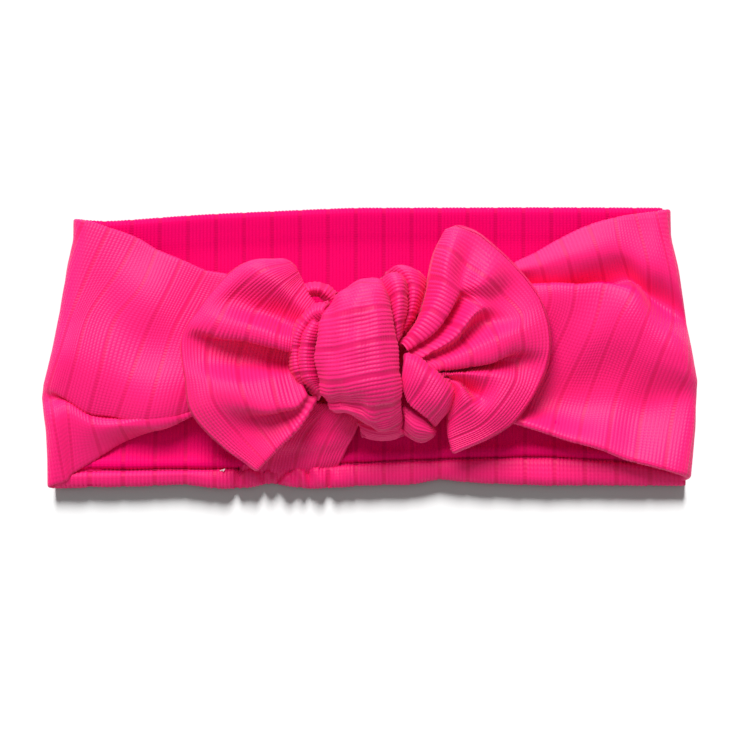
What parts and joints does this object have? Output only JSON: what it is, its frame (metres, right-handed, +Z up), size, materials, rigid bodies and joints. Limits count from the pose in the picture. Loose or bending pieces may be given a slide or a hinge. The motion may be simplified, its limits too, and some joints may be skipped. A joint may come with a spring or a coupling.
{
  "type": "knotted headband",
  "caption": "Wide double-layer rib-knit headband lying flat, its front tied into a knot with two puffed bow ears.",
  "frame": {"origin": "bottom centre of the band as it lies flat on its back", "axes": "+X along the folded loop, +Y towards the loop's upper edge, +Z up from the surface through the knot"},
  "size_m": [0.2289, 0.098, 0.0381],
  "materials": {
    "outer_knit": "hot pink rib knit, matt",
    "lining_knit": "hot pink rib knit, inner layer",
    "knot_knit": "hot pink rib knit, stretched",
    "ear_knit": "hot pink rib knit, puffed",
    "thread": "pink sewing thread",
    "pale_thread": "pale thread end"
  },
  "bodies": {
    "back": {"back_outer_layer": "outer_knit", "back_lining": "lining_knit", "hem_roll_left": "outer_knit", "hem_roll_right": "outer_knit", "closing_gather": "outer_knit", "long_seam_left": "thread", "long_seam_right": "thread", "closing_stitch_1": "thread", "closing_stitch_2": "thread", "closing_stitch_3": "thread", "closing_stitch_4": "thread", "thread_tail": "pale_thread", "left_fold_outer": "outer_knit", "left_fold_lining": "lining_knit", "right_fold_outer": "outer_knit", "right_fold_lining": "lining_knit"},
    "front": {"left_panel_outer": "outer_knit", "left_panel_lining": "lining_knit", "left_panel_tuck": "outer_knit", "left_neck": "outer_knit", "right_panel_outer": "outer_knit", "right_panel_lining": "lining_knit", "right_upper_pleat": "outer_knit", "knot_core": "knot_knit", "knot_wrap": "knot_knit", "knot_left_roll_outer": "knot_knit", "knot_left_roll_inner": "knot_knit", "knot_small_loop": "knot_knit", "knot_top_fold_front": "knot_knit", "knot_top_fold_rear": "knot_knit", "knot_lower_wrap": "knot_knit", "knot_lower_lobe": "knot_knit", "knot_bottom_tuck": "knot_knit"},
    "left_ear": {"left_ear_under_layer": "ear_knit", "left_ear_upper_leaf": "ear_knit", "left_ear_lower_leaf": "ear_knit"},
    "right_ear": {"right_ear_under_layer": "ear_knit", "right_ear_pleat_1": "ear_knit", "right_ear_pleat_2": "ear_knit", "right_ear_pleat_3": "ear_knit", "right_ear_pleat_4": "ear_knit", "right_ear_lower_roll": "ear_knit", "right_ear_rim": "ear_knit", "right_ear_rim_thread": "thread"}
  },
  "joints": [
    {"name": "loop_opening", "type": "slide", "parent": "back", "child": "front", "axis": [0, 0, 1], "range_m": [0, 0.06]},
    {"name": "left_ear_lift", "type": "hinge", "parent": "front", "child": "left_ear", "pos_m": [-0.0293, 0, 0.0215], "axis": [0, 1, 0], "range_deg": [0, 65]},
    {"name": "right_ear_lift", "type": "hinge", "parent": "front", "child": "right_ear", "pos_m": [0.0212, 0, 0.0215], "axis": [0, -1, 0], "range_deg": [0, 65]}
  ]
}
